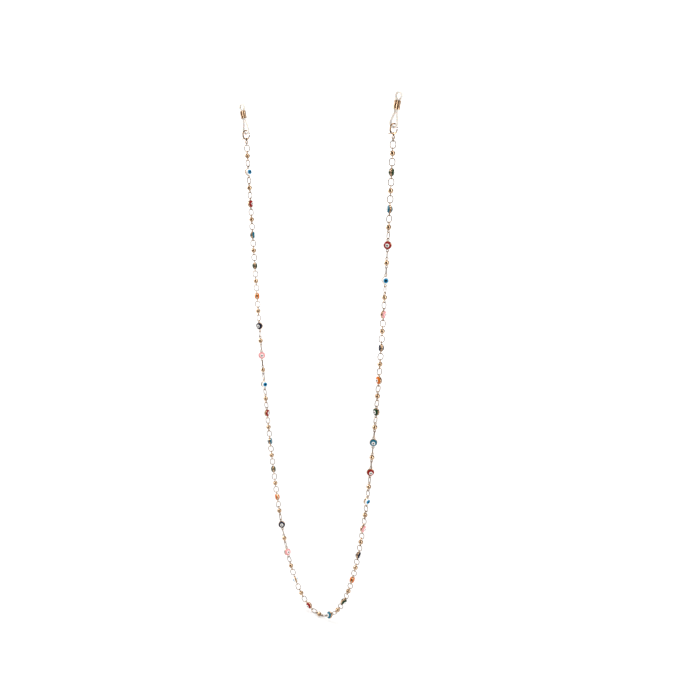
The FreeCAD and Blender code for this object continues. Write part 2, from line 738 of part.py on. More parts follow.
def build():
    masters = {
        "eye_frames": make_eye_frame(),
        "enamel_eyes": make_enamel(),
        "gold_balls": make_ball(),
        "link_rings": make_link_ring(),
        "jump_ring": make_jump_ring(),
        "elastic_loop": make_elastic_loop(),
        "crimp_sleeve": make_sleeve(),
        "clasp_body": make_clasp_body(),
        "clasp_lever": make_lever(),
        "clasp_pin": make_pin(),
        "clasp_spring": make_spring(),
    }
    way = loop_levels()
    lean = math.radians(size("loop_lean"))
    half_gap = size("temple_gap") / 2
    hook_x = half_gap + way["centre_z"] * math.sin(lean)
    hook_z = way["centre_z"] * math.cos(lean) - way["lower"]
    reach = steps()
    spread, points = solve_hang(reach, hook_x)
    lift = hook_z - points[-1].z
    points = [Vector(p.x, 0, p.z + lift) for p in points]
    print(f"spread {spread:.3f} mm, lowest pulling point {points[0].z:.3f} mm")
    print(f"one unit {reach['eye'] + reach['ball'] + 2 * reach['link']:.3f} mm")

    nodes = []
    right_turns = turns_of(RIGHT_TURNS)
    left_turns = turns_of(LEFT_TURNS)
    add_bottom_turns(right_turns, left_turns)
    sides = {
        "right": (1, side_seats(points, right_turns, 1, reach)),
        "left": (-1, side_seats(points, left_turns, -1, reach)),
    }
    order = strand_order()
    for side, (sign, seats) in sides.items():
        top = UNITS_PER_SIDE + 0.5
        end = Placement(
            Vector(sign * half_gap, 0, 0), Rotation(Vector(0, 1, 0), sign * size("loop_lean"))
        )
        nodes.append(node(f"elastic_loop_{side}", masters["elastic_loop"], [end]))
        nodes.append(node(f"crimp_sleeve_{side}", masters["crimp_sleeve"], [end]))
        for part in ("clasp_body", "clasp_lever", "clasp_pin", "clasp_spring"):
            nodes.append(node(f"{part}_{side}", masters[part], [seats[("clasp", top)]]))
        nodes.append(node(f"jump_ring_{side}", masters["jump_ring"], [seats[("jump", top)]]))
        for level, (lowest, highest) in sorted(STRETCHES.items()):
            pairs = stretch_seats(seats, lowest, highest)
            nodes += chain_nodes(masters, f"{side}_{level}", pairs)
        slide = end.Rotation.multVec(Vector(0, 0, -1))
        report_pivot(f"slide_{side}", slide)
        report_pivot(f"clasp_{side}", Vector(sign * points[-1].x, 0, points[-1].z))
        pin = Vector(size("pin_across"), 0, size("pin_height"))
        report_pivot(f"pin_{side}", seats[("clasp", top)].multVec(pin))
        report_pivot(f"pin_axis_{side}", seats[("clasp", top)].Rotation.multVec(Vector(0, 1, 0)))
        for index, (kind, number) in enumerate(order):
            if kind == "clasp":
                report_pivot(f"stretch_1_{side}", Vector(sign * points[index].x, 0, points[index].z))
            for level, (lowest, highest) in STRETCHES.items():
                if kind == "link" and number == lowest:
                    point = Vector(sign * points[index + 1].x, 0, points[index + 1].z)
                    report_pivot(f"foot_{level}_{side}", point)

    seats = sides["right"][1]
    low, high = points[0], Vector(-points[0].x, 0, points[0].z)
    bottom_ball = seat(high, low, right_turns[("ball", 0.0)])
    pairs = stretch_seats(sides["right"][1], 0.25, BOTTOM_REACH)
    pairs += stretch_seats(sides["left"][1], 0.25, BOTTOM_REACH)
    pairs += [("link", seats[("link", 0.5)]), ("link", sides["left"][1][("link", 0.5)])]
    pairs.append(("ball", bottom_ball))
    nodes += chain_nodes(masters, "bottom", pairs)
    return nodes


def check_and_write(nodes):
    """Recompute, refuse anything failed or empty, then write one STEP file for each node."""
    doc.recompute()
    failed = [o.Label for o in doc.Objects if {"Invalid", "Error"} & set(o.State)]
    if failed:
        raise RuntimeError(f"failed objects: {failed}")
    os.makedirs("parts", exist_ok=True)
    for piece in nodes:
        shape = piece.Shape
        if shape.isNull() or not shape.isValid():
            raise RuntimeError(f"bad shape: {piece.Label}")
    for piece in nodes:
        piece.Shape.exportStep(f"parts/{piece.Label}.step")
        print(f"{piece.Label}: {len(piece.Shape.Solids)} solids, {piece.Shape.Volume:.2f} mm3")
    print(f"{len(nodes)} nodes")


check_and_write(build())
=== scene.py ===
# %% [markdown]
# A beaded glasses chain, dressed for its portrait.  The chain is a loop of enamel eye beads,
# gold balls and oval wire links.  At each end a lobster clasp holds it to an elastic loop
# that grips one temple arm of a pair of glasses.
#
# The engineering model gives every piece its place and its size.  The cells below read both
# from it, build a finer mesh for each piece, and give each mesh its finish.

import json
import math
import random

import bmesh
import bpy
import numpy as np
from mathutils import Matrix, Vector


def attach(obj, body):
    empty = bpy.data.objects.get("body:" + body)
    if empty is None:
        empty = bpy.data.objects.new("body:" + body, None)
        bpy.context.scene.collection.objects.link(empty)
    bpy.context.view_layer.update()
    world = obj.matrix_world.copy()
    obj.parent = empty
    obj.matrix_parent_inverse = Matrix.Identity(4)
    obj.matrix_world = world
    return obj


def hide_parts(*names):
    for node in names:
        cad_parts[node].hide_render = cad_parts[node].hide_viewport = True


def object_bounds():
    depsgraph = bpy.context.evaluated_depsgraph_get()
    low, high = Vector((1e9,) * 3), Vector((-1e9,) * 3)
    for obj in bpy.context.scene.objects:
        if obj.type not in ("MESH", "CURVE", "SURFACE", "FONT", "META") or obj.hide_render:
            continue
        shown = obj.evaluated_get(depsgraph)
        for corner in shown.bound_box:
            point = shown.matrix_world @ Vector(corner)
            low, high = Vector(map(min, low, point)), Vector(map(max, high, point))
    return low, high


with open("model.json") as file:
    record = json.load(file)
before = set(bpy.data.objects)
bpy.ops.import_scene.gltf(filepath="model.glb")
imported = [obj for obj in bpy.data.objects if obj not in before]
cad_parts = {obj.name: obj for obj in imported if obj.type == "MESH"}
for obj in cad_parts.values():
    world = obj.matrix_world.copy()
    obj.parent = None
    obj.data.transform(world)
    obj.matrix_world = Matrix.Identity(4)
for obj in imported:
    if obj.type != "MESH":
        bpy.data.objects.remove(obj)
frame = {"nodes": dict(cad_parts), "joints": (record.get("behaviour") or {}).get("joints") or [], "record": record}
record = frame["record"]
cad_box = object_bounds()
print("model box", cad_box)

# %% [markdown]
# Jewellery is measured in millimetres, and Blender works in metres here.  All shapes below
# are written in millimetres and turned into metres once, when an object is made.

# %% Units and names
MM = 0.001

body_of = {n: body for body, nodes in record["behaviour"]["bodies"].items() for n in nodes}
joints = {joint["name"]: joint for joint in frame["joints"]}
mounts = {mount["name"]: mount for mount in record["mounts"]}

# %% [markdown]
# A shape is a pair: an array of points and a list of faces.  Keeping shapes as plain numbers
# until the end makes it cheap to copy one bead to many places and join the copies, because
# no Blender object is made for a bead that only exists to be copied.

# %% Shapes as points and faces
def joined(shapes):
    """Several shapes as one."""
    points, faces, start = [], [], 0
    for shape_points, shape_faces in shapes:
        points.append(shape_points)
        faces += [tuple(start + corner for corner in face) for face in shape_faces]
        start += len(shape_points)
    return np.concatenate(points), faces


def placed(shape, centre=(0, 0, 0), axes=np.eye(3)):
    """The shape moved to a place: the columns of axes are its own X, Y and Z there."""
    points, faces = shape
    return points @ np.asarray(axes, float).T + np.asarray(centre, float), faces


def mesh_object(name, shape, crease=40):
    """A smooth object from a shape, with edges sharper than crease degrees kept crisp."""
    points, faces = shape
    mesh = bpy.data.meshes.new(name)
    mesh.from_pydata((points * MM).tolist(), [], faces)
    mesh.update()
    work = bmesh.new()
    work.from_mesh(mesh)
    bmesh.ops.recalc_face_normals(work, faces=work.faces)
    work.to_mesh(mesh)
    work.free()
    mesh.shade_smooth()
    mesh.set_sharp_from_angle(angle=math.radians(crease))
    piece = bpy.data.objects.new(name, mesh)
    bpy.context.scene.collection.objects.link(piece)
    return piece


# %% [markdown]
# Two ways of making a surface cover nearly everything on a chain.  What comes off a lathe or
# out of a round mould is a profile turned about an axis.  What is bent from wire is a round
# section carried along a line.

# %% Turned shapes
def turned(profile, sides, axis="z", closed=False):
    """A profile of (radius, height) turned about an axis.  A radius of 0 closes an end."""
    points, rings, faces = [], [], []
    for radius, height in profile:
        if radius < 1e-9:
            rings.append([len(points)])
            points.append((0, 0, height))
            continue
        rings.append(list(range(len(points), len(points) + sides)))
        for side in range(sides):
            angle = 2 * math.pi * side / sides
            points.append((radius * math.cos(angle), radius * math.sin(angle), height))
    pairs = list(zip(rings, rings[1:]))
    if closed:
        pairs.append((rings[-1], rings[0]))
    for low, high in pairs:
        for side in range(sides):
            after = (side + 1) % sides
            corners = [low[side % len(low)], low[after % len(low)],
                       high[after % len(high)], high[side % len(high)]]
            faces.append(tuple(dict.fromkeys(corners)))
    points = np.array(points, float)
    if axis == "y":
        points = points[:, [0, 2, 1]]
    return points, faces


# %% Wire shapes
def frames_along(line, closed):
    """A direction and two side directions at each point, turning as little as possible."""
    ahead = np.roll(line, -1, axis=0) - line
    behind = line - np.roll(line, 1, axis=0)
    if not closed:
        ahead[-1] = behind[-1]
        behind[0] = ahead[0]
    along = ahead / np.linalg.norm(ahead, axis=1)[:, None]
    along = along + behind / np.linalg.norm(behind, axis=1)[:, None]
    along /= np.linalg.norm(along, axis=1)[:, None]
    side = np.cross(along[0], [0, 1, 0])
    if np.linalg.norm(side) < 0.2:
        side = np.cross(along[0], [1, 0, 0])
    sides = []
    for direction in along:
        side = side - direction * side.dot(direction)
        side = side / np.linalg.norm(side)
        sides.append(side)
    return along, np.array(sides), np.cross(along, sides)


def wire(line, radius, sides=12, closed=False, across=None):
    """A round wire along a line.  radius may change along it; across is its other half width."""
    line = np.asarray(line, float)
    count = len(line)
    first = np.broadcast_to(np.asarray(radius, float), count)
    second = first if across is None else np.broadcast_to(np.asarray(across, float), count)
    _, side, other = frames_along(line, closed)
    angles = 2 * np.pi * np.arange(sides) / sides
    points = (
        line[:, None, :]
        + np.cos(angles)[None, :, None] * side[:, None, :] * first[:, None, None]
        + np.sin(angles)[None, :, None] * other[:, None, :] * second[:, None, None]
    ).reshape(-1, 3)
    faces = []
    for ring in range(count if closed else count - 1):
        here, there = ring * sides, (ring + 1) % count * sides
        for corner in range(sides):
            after = (corner + 1) % sides
            faces.append((here + corner, here + after, there + after, there + corner))
    if not closed:
        faces.append(tuple(range(sides - 1, -1, -1)))
        faces.append(tuple(range((count - 1) * sides, count * sides)))
    return points, faces


def arc(centre, radius, start, end, count):
    """Points (x, 0, z) on an arc, its angles in degrees from +X towards +Z."""
    angles = np.radians(np.linspace(start, end, count))
    x, z = centre
    return np.stack([x + radius * np.cos(angles), 0 * angles, z + radius * np.sin(angles)], 1)


# %% [markdown]
# Each model node holds several beads of one kind, as separate solids.  A bead's place is
# read off its own solid: the middle of its surface, and the three directions in which the
# surface spreads most, less and least.  For an eye these are up the chain, across the face
# and out of the face.  Areas are used, not corners, because corners crowd where a shape
# bends and would pull the directions off.

# %% Find each bead in the model
def solids_of(name):
    """The points and triangles of each separate solid of a model node, in millimetres."""
    mesh = frame["nodes"][name].data
    places = np.array([v.co for v in mesh.vertices], float) / MM
    _, same = np.unique(np.round(places, 4), axis=0, return_inverse=True)
    same = same.reshape(-1)
    mesh.calc_loop_triangles()
    triangles = np.array([t.vertices for t in mesh.loop_triangles])
    group = np.arange(same.max() + 1)
    corners = same[triangles]
    while True:
        lowest = group[corners].min(axis=1)
        before = group.copy()
        for column in range(3):
            np.minimum.at(group, corners[:, column], lowest)
        group = group[group]
        if (group == before).all():
            break
    owner = group[corners[:, 0]]
    return [places[triangles[owner == solid]] for solid in np.unique(owner)]


def place_of(triangles):
    """Centre, directions (its X, Y and Z as columns) and size of one solid."""
    a, b, c = triangles[:, 0], triangles[:, 1], triangles[:, 2]
    area = np.linalg.norm(np.cross(b - a, c - a), axis=1) / 2
    middle = ((a + b + c) / 3 * area[:, None]).sum(0) / area.sum()
    spread = np.zeros((3, 3))
    for corner in (a - middle, b - middle, c - middle, a + b + c - 3 * middle):
        spread += (corner * area[:, None]).T @ corner / 12
    _, directions = np.linalg.eigh(spread)
    up, across, out = directions[:, 2], directions[:, 1], directions[:, 0]
    up = up * (1 if up[2] > 0 else -1)
    out = out * (1 if out[1] > 0 else -1)
    axes = np.stack([np.cross(out, up), out, up], 1)
    reach = triangles.reshape(-1, 3) @ axes
    low, high = reach.min(0), reach.max(0)
    return axes @ ((low + high) / 2), axes, high - low


beads = {}
for node in body_of:
    if node.startswith(("eye_frames", "gold_balls", "link_rings", "jump_ring")):
        beads[node] = [place_of(solid) for solid in solids_of(node)]
eye_nodes = [node for node in beads if node.startswith("eye_frames")]
print(sum(len(beads[node]) for node in eye_nodes), "eyes")

# %% [markdown]
# The sizes of one bead of each kind come from the same measurement.

# %% Sizes of the beads
def size_of(kind):
    """The middle size of all the beads of one kind, along their own X, Y and Z."""
    sizes = [size for node, places in beads.items() if node.startswith(kind)
             for _, _, size in places]
    return np.median(np.array(sizes), axis=0)


link_across, wire_width, link_long = size_of("link_rings")
eye_across, band_width, eye_long = size_of("eye_frames")
ball_across, _, ball_long = size_of("gold_balls")
jump_across, _, _ = size_of("jump_ring")
WIRE = wire_width / 2
print("wire", wire_width.round(2), "link", link_across.round(2), link_long.round(2))
print("eye", eye_across.round(2), band_width.round(2), "ball", ball_across.round(2))

# %% [markdown]
# A node's copies become one object, which rides on the node's body and stands in for the
# node.  This one function does it for every piece of the chain.

# %% One object for each node
def dress(node, name, shape, finish, crease=40):
    """Make the object that stands for a model node."""
    piece = mesh_object(name, shape, crease)
    piece.data.materials.append(finish)
    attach(piece, body_of[node])
    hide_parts(node)
    return piece


# %% [markdown]
# Before the pieces come their finishes.  Shader sums are easier to read as Python than as
# boxes and lines, so a Socket stands for one output of a node and knows how to add, subtract
# and multiply.  A Finish is one material.  Its node method makes any other node.

# %% Shader sums in Python
class Socket:
    """One output of a material's nodes."""

    def __init__(self, finish, output):
        self.finish = finish
        self.output = output

    def sum_with(self, operation, first, second):
        return self.finish.node("ShaderNodeMath", {"operation": operation}, {0: first, 1: second})

    def __add__(self, other):
        return self.sum_with("ADD", self, other)

    __radd__ = __add__

    def __sub__(self, other):
        return self.sum_with("SUBTRACT", self, other)

    def __rsub__(self, other):
        return self.sum_with("SUBTRACT", other, self)

    def __mul__(self, other):
        return self.sum_with("MULTIPLY", self, other)

    __rmul__ = __mul__


class Finish:
    """A material and the ways of adding nodes to it."""

    def __init__(self, name):
        self.material = bpy.data.materials.new(name)
        self.material.use_nodes = True
        self.tree = self.material.node_tree
        self.shader = self.tree.nodes["Principled BSDF"]

    def link(self, value, socket):
        if isinstance(value, Socket):
            self.tree.links.new(value.output, socket)
        else:
            socket.default_value = value

    def node(self, kind, settings=None, inputs=None, output=0):
        """A node of any kind: its settings are set first, then its sockets."""
        made = self.tree.nodes.new(kind)
        for name, value in (settings or {}).items():
            if name == "stops":
                ramp = made.color_ramp.elements
                while len(ramp) < len(value):
                    ramp.new(1)
                for stop, (place, colour) in zip(ramp, value):
                    stop.position, stop.color = place, colour
            else:
                setattr(made, name, value)
        for socket, value in (inputs or {}).items():
            self.link(value, made.inputs[socket])
        return Socket(self, made.outputs[output])

    def place(self):
        """The point on the object, in metres."""
        return self.node("ShaderNodeTexCoord", output="Object")

    def noise(self, size_mm, detail):
        """Soft noise whose lumps are about this many millimetres across."""
        inputs = {"Vector": self.place(), "Scale": 1 / (size_mm * MM), "Detail": detail}
        return self.node("ShaderNodeTexNoise", {}, inputs)

    def streaks(self, across_mm, along_mm):
        """Noise drawn out along the height, as on strip or wire."""
        scale = (1 / (across_mm * MM), 1 / (across_mm * MM), 1 / (along_mm * MM))
        inputs = {0: self.place(), 1: scale}
        drawn = self.node("ShaderNodeVectorMath", {"operation": "MULTIPLY"}, inputs)
        return self.node("ShaderNodeTexNoise", {}, {"Vector": drawn, "Scale": 1.0, "Detail": 2.0})

    def between(self, value, low, high):
        """0 below low, 1 above high and a smooth step between."""
        settings = {"interpolation_type": "SMOOTHSTEP"}
        inputs = {"Value": value, "From Min": low, "From Max": high}
        return self.node("ShaderNodeMapRange", settings, inputs)

    def mix(self, share, first, second):
        """One colour where share is 0 and another where it is 1."""
        inputs = {0: share, 6: first, 7: second}
        return self.node("ShaderNodeMix", {"data_type": "RGBA"}, inputs, 2)

    def bump(self, height, depth_mm):
        """A normal from a height between 0 and 1."""
        inputs = {"Height": height, "Distance": depth_mm * MM, "Strength": 1.0}
        return self.node("ShaderNodeBump", {}, inputs)

    def set(self, **sockets):
        """Set or link the shader's own sockets; an underscore stands for a space."""
        for name, value in sockets.items():
            self.link(value, self.shader.inputs[name.replace("_", " ")])
        return self.material


def rgb(red, green, blue):
    return (red, green, blue, 1.0)


# %% [markdown]
# The metal is brass with a thin rose gold plating.  Plating on tumbled findings is bright
# but never perfect: it is a little warmer in some places, a little duller where fingers
# touch it, and fine scratches from the tumbler cross it.  Slow noise gives the first two and
# a fine bump gives the last.  The wire and cast tones are darker copies of the bead tone:
# painted shade that stands in for the dark reflections on thin wire and on the clasps.  One
# function makes all three tones.

# %% Rose gold plating
TUMBLE_MARK = 0.006  # depth of the fine scratches


def rose_gold(name, pale, deep, shine):
    finish = Finish(name)
    warm = finish.between(finish.noise(2.5, 3), 0.35, 0.65)
    dull = finish.between(finish.noise(0.9, 4), 0.45, 0.75)
    colour = finish.mix(warm, rgb(*pale), rgb(*deep))
    scratches = finish.noise(0.12, 3)
    return finish.set(
        Base_Color=colour,
        Metallic=1.0,
        Roughness=shine + 0.16 * dull,
        Normal=finish.bump(scratches, TUMBLE_MARK),
    )


GOLD = rose_gold("rose_gold", (0.60, 0.44, 0.30), (0.34, 0.22, 0.13), 0.10)
# The wire and cast tones are the bead plating darkened as painted shade, for dark reflections.
SHADED_WIRE_GOLD = rose_gold("rose_gold_wire", (0.26, 0.17, 0.105), (0.12, 0.07, 0.04), 0.14)
SHADED_CAST_GOLD = rose_gold("rose_gold_cast", (0.36, 0.24, 0.14), (0.13, 0.07, 0.035), 0.06)

# %% [markdown]
# The sleeve's strip is rolled and then pressed round the cord, which leaves it darker and
# marked with lines along its length.

# %% Pressed strip
def pressed_strip():
    finish = Finish("pressed_strip")
    lines = finish.streaks(0.35, 6.0)
    worn = finish.between(lines, 0.35, 0.62)
    return finish.set(
        Base_Color=finish.mix(worn, rgb(0.20, 0.11, 0.06), rgb(0.62, 0.43, 0.28)),
        Metallic=1.0,
        Roughness=0.20 + 0.18 * lines,
        Normal=finish.bump(lines, 0.05),
    )


STRIP = pressed_strip()

# %% [markdown]
# Steel is only used for the spring inside each clasp.  Drawn wire has fine lines along it,
# which show as uneven dullness.

# %% Spring steel
def spring_steel():
    finish = Finish("spring_steel")
    lines = finish.noise(0.15, 4)
    return finish.set(
        Base_Color=finish.mix(lines, rgb(0.42, 0.42, 0.43), rgb(0.62, 0.62, 0.63)),
        Metallic=1.0,
        Roughness=0.22 + 0.2 * lines,
    )


STEEL = spring_steel()

# %% [markdown]
# The elastic cord is milky silicone.  It lets light in, scatters it and lets much of it out
# again, so strong subsurface scattering gives the milk.  A thin cord also passes on light
# that falls on its far side, and a faint glow stands in for that.  Cord is pulled through a
# die, so its skin is slightly uneven.

# %% Clear silicone
def clear_silicone():
    finish = Finish("clear_silicone")
    cloud = finish.noise(1.6, 2)
    skin = finish.noise(0.35, 3)
    return finish.set(
        Base_Color=finish.mix(cloud, rgb(0.74, 0.71, 0.67), rgb(0.81, 0.78, 0.745)),
        Roughness=0.48 + 0.14 * skin,
        Specular_IOR_Level=0.15,
        Subsurface_Weight=0.8,
        Emission_Color=rgb(1.0, 0.95, 0.90),
        Emission_Strength=0.08,
        Subsurface_Radius=(1.0, 0.85, 0.7),
        Subsurface_Scale=0.8 * MM,
        Normal=finish.bump(skin, 0.01),
    )


SILICONE = clear_silicone()

# %% [markdown]
# Each eye is painted in three rings: an outer colour, a middle colour and a dark pupil.  One
# enamel finish paints all of them.  It reads how far a point is from the middle of its eye,
# and the two colours of that eye, from attributes that the eye's mesh carries.  Hand laid
# enamel has slightly wavy edges, so a little noise is added to the distance.

# %% Enamel
PUPIL = 0.60
MIDDLE_RING = 1.18
SOFT = 0.04  # half the width of the blur where two colours meet


def enamel():
    finish = Finish("enamel")
    outer = finish.node("ShaderNodeAttribute", {"attribute_name": "outer_colour"}, {}, "Color")
    middle = finish.node("ShaderNodeAttribute", {"attribute_name": "middle_colour"}, {}, "Color")
    far = finish.node("ShaderNodeAttribute", {"attribute_name": "from_middle"}, {}, "Fac")
    ragged = far + 0.16 * (finish.noise(0.5, 2) - 0.5)
    outside_middle = finish.between(ragged, MIDDLE_RING - SOFT, MIDDLE_RING + SOFT)
    outside_pupil = finish.between(ragged, PUPIL - SOFT, PUPIL + SOFT)
    cloud = finish.noise(0.8, 3)
    depth = finish.mix(0.02 * cloud, outer, rgb(1.0, 1.0, 1.0))
    painted = finish.mix(outside_middle, middle, depth)
    whole = finish.mix(outside_pupil, rgb(0.004, 0.004, 0.007), painted)
    dimples = finish.noise(0.3, 2)
    return finish.set(
        Base_Color=whole,
        Roughness=0.10 + 0.12 * cloud,
        Coat_Weight=0.05,
        Specular_IOR_Level=0.12,
        Coat_Roughness=0.04,
        IOR=1.5,
        Normal=finish.bump(dimples, 0.008),
    )


ENAMEL = enamel()
FINISHES = (GOLD, SHADED_WIRE_GOLD, SHADED_CAST_GOLD, STRIP, STEEL, SILICONE, ENAMEL)
print("finishes", [finish.name for finish in FINISHES])

# %% [markdown]
# An eyelet is the end of a wire turned back into a small ring.  The end stops just short of
# the neck, so there is a fine slit, and the neck sits in a small collar of solder.

# %% Eyelets
EYELET = 0.8  # from the middle of an eyelet to the middle of its wire
EYELET_END = 255  # where its end stops short of the neck, in degrees


def eyelet(height):
    """A turned eyelet above a bead whose long half length is height."""
    middle = height - EYELET - WIRE
    line = arc((0, middle), EYELET, -90, EYELET_END, 30)
    ring = wire(line, WIRE, 10)
    neck = middle - EYELET
    collar = turned(
        [(0, neck - 0.5), (0.52, neck - 0.5), (0.50, neck - 0.28), (0.34, neck - 0.12),
         (0.27, neck + 0.02), (0, neck + 0.08)], 18)
    return joined([ring, collar])


def eyelets(long):
    """An eyelet above and one below."""
    upper = eyelet(long / 2)
    lower = placed(upper, axes=np.diag([-1.0, 1.0, -1.0]))
    return [upper, lower]


# %% [markdown]
# The eye's gold frame is a short tube with rolled edges.  The rolled edges hold the enamel,
# and the waist between them catches the light as a bright line.

# %% Eye frames
BAND = 0.4  # thickness of the frame's tube
ROLL = 0.16  # radius of its rolled edges
WAIST = 0.10  # depth of its waist


def eye_frame():
    outside = eye_across / 2
    half = band_width / 2
    inside = outside - BAND
    profile = [(inside, -half), (inside, half)]
    for end in (1, -1):
        for step in np.linspace(0, 180, 7):
            angle = math.radians(step)
            radius = outside - ROLL + ROLL * math.sin(angle)
            height = end * (half - ROLL) + ROLL * math.cos(angle)
            profile.append((radius, height))
        if end == 1:
            profile += [(outside - WAIST, 0.12), (outside - WAIST, -0.12)]
    band = turned(profile, 48, axis="y", closed=True)
    return joined([band] + eyelets(eye_long))


FRAME = eye_frame()
for node in eye_nodes:
    shape = joined([placed(FRAME, centre, axes) for centre, axes, _ in beads[node]])
    dress(node, node.replace("eye_frames", "eye_rims"), shape, GOLD)
print("one frame has", len(FRAME[1]), "faces")

# %% [markdown]
# The colours repeat every seven eyes, counted from the top of the right side, round the
# bottom and up the left side.  Six kinds have a coloured rim and a white ring.  The light
# blue kind is the other way round: a white rim and a blue ring.

# %% Eye colours
WHITE = (0.97, 0.97, 0.95)
KINDS = [
    ("green", (0.0, 0.03, 0.006), WHITE),
    ("teal", (0.0, 0.12, 0.19), WHITE),
    ("red", (0.25, 0.0, 0.0), WHITE),
    ("light_blue", WHITE, (0.0, 0.26, 0.52)),
    ("pink", (0.80, 0.36, 0.38), WHITE),
    ("navy", (0.0, 0.003, 0.022), WHITE),
    ("orange", (0.60, 0.13, 0.0), WHITE),
]
WIDE_MIDDLE = {"light_blue": 0.76}  # below 1 spreads that kind's middle ring and pupil


def chain_order(entry):
    """Sorts eyes down the right side and up the left side."""
    x, _, z = entry[1]
    return (0, -z) if x > 0 else (1, z)


eyes = [(node, centre, axes) for node in eye_nodes for centre, axes, _ in beads[node]]
eyes.sort(key=chain_order)
for number, (node, centre, _) in enumerate(eyes[:3]):
    print("eye", number + 1, KINDS[number % len(KINDS)][0], centre.round(1))

# %% [markdown]
# The enamel is one piece right through the frame, with a dome on each face.  The rings are
# laid one on another, so each stands a hair above the one outside it, and the rim bulges
# softly over the frame's edge.

# %% Enamel eyes
DOME_FOOT = 2.45
DOME_HEIGHT = 1.3
PAINT_STEP = 0.035  # each ring of paint stands this far above the one outside it
STEP_WIDTH = 0.03
STEP_POINTS = (0.07, 0.03, 0.0, -0.03, -0.07)


def dome_height(radius):
    """Height of the dome above the frame's edge."""
    ball = (DOME_FOOT**2 + DOME_HEIGHT**2) / (2 * DOME_HEIGHT)
    height = math.sqrt(ball**2 - radius**2) - (ball - DOME_HEIGHT)
    for edge in (MIDDLE_RING, PUPIL):
        step = PAINT_STEP / (1 + math.exp((radius - edge) / STEP_WIDTH))
        height += step - PAINT_STEP / 2
    return height


def enamel_eye():
    half = band_width / 2 + 0.01
    waist = eye_across / 2 - BAND - 0.01
    radii = list(np.linspace(DOME_FOOT, MIDDLE_RING + 0.12, 8))
    radii += [MIDDLE_RING + step for step in STEP_POINTS]
    radii += list(np.linspace(MIDDLE_RING - 0.15, PUPIL + 0.12, 5))
    radii += [PUPIL + step for step in STEP_POINTS]
    radii += [0.28, 0.14, 0.0]
    upper = [(radius, half + max(dome_height(radius), 0)) for radius in radii]
    lower = [(radius, -height) for radius, height in reversed(upper)]
    return turned(lower + [(waist, -half), (waist, half)] + upper, 56, axis="y")


EYE = enamel_eye()
from_middle = np.hypot(EYE[0][:, 0], EYE[0][:, 2])


def paint(piece, kinds):
    """Give an object of several eyes the attributes that the enamel reads."""
    mesh = piece.data
    far = mesh.attributes.new("from_middle", "FLOAT", "POINT")
    distances = [from_middle * WIDE_MIDDLE.get(kind[0], 1.0) for kind in kinds]
    far.data.foreach_set("value", np.concatenate(distances).astype(np.float32))
    for name, column in (("outer_colour", 1), ("middle_colour", 2)):
        layer = mesh.attributes.new(name, "FLOAT_COLOR", "POINT")
        colours = [np.tile([*kind[column], 1.0], (len(EYE[0]), 1)) for kind in kinds]
        layer.data.foreach_set("color", np.concatenate(colours).ravel().astype(np.float32))


for frame_node in eye_nodes:
    node = frame_node.replace("eye_frames", "enamel_eyes")
    here = [(n, e) for n, e in enumerate(eyes) if e[0] == frame_node]
    shape = joined([placed(EYE, centre, axes) for _, (_, centre, axes) in here])
    piece = dress(node, node.replace("enamel_eyes", "glass_eyes"), shape, ENAMEL)
    paint(piece, [KINDS[number % len(KINDS)] for number, _ in here])
print("one eye has", len(EYE[1]), "faces")

# %% [markdown]
# The balls are hollow beads pressed from sheet and closed with a seam round the middle, with
# an eyelet soldered to each end.

# %% Gold balls
SEAM_DEPTH = 0.02
SEAM_WIDTH = 0.07
BALL_STEPS = 28


def gold_ball():
    radius = ball_across / 2
    profile = [(0, -radius)]
    for step in range(1, BALL_STEPS):
        angle = math.pi * step / BALL_STEPS - math.pi / 2
        height = radius * math.sin(angle)
        shrink = SEAM_DEPTH * math.exp(-(height / SEAM_WIDTH) ** 2)
        profile.append(((radius - shrink) * math.cos(angle), height))
    profile.append((0, radius))
    return joined([turned(profile, 36)] + eyelets(ball_long))


BALL = gold_ball()
for node in [n for n in beads if n.startswith("gold_balls")]:
    shape = joined([placed(BALL, centre, axes) for centre, axes, _ in beads[node]])
    dress(node, node.replace("gold_balls", "balls"), shape, GOLD)
print("one ball has", len(BALL[1]), "faces")

# %% [markdown]
# A link is cut from a coil of oval wire and closed with pliers.  No two close quite the same
# way, so each link here gets its own small gap, and its two ends miss each other by a hair.
# The random numbers start from a fixed seed, so every run makes the same links.

# %% Link rings
GAP = (0.05, 0.16)  # least and most between the two ends of a link
MISS = 0.05  # most that each end stands off to its own side
random.seed(16)


def oval(half_long, half_across, count):
    """Points round an oval of wire, starting and ending at the middle of its right side."""
    straight = half_long - half_across
    top = arc((0, straight), half_across, 0, 180, count)
    foot = arc((0, -straight), half_across, 180, 360, count)
    right = [half_across, 0, 0]
    return np.concatenate([[right], top, [[-half_across, 0, 0]], foot, [right]])


def link_ring():
    """One link with its own gap and its own misfit at the gap."""
    line = oval(link_long / 2 - WIRE, link_across / 2 - WIRE, 13)
    gap = random.uniform(*GAP)
    miss = random.uniform(-MISS, MISS)
    line[0, 2] += gap / 2
    line[-1, 2] -= gap / 2
    share = np.linspace(-1, 1, len(line))
    line[:, 1] += miss * share**3
    return wire(line, WIRE, 10)


for node in [n for n in beads if n.startswith("link_rings")]:
    shape = joined([placed(link_ring(), centre, axes) for centre, axes, _ in beads[node]])
    dress(node, node.replace("link_rings", "links"), shape, SHADED_WIRE_GOLD)

# %% [markdown]
# A round jump ring joins each clasp to the first link.

# %% Jump rings
def jump_ring():
    radius = (jump_across - wire_width) / 2
    return wire(arc((0, 0), radius, 4, 356, 36), WIRE, 12)


for node in [n for n in beads if n.startswith("jump_ring")]:
    centre, axes, _ = beads[node][0]
    dress(node, node.replace("jump_ring", "round_ring"), placed(jump_ring(), centre, axes),
          SHADED_WIRE_GOLD)
print("links and rings made")

# %% [markdown]
# Each end of the chain has its own directions.  A clasp hangs between the point where it
# pulls on the elastic loop and the point where the jump ring pulls on its tail, and its pin
# lies across it.  The model's joints give all three.

# %% Where each clasp hangs
CORD_REST = 0.8  # the clasp's middle is this far below the point where it pulls on the cord


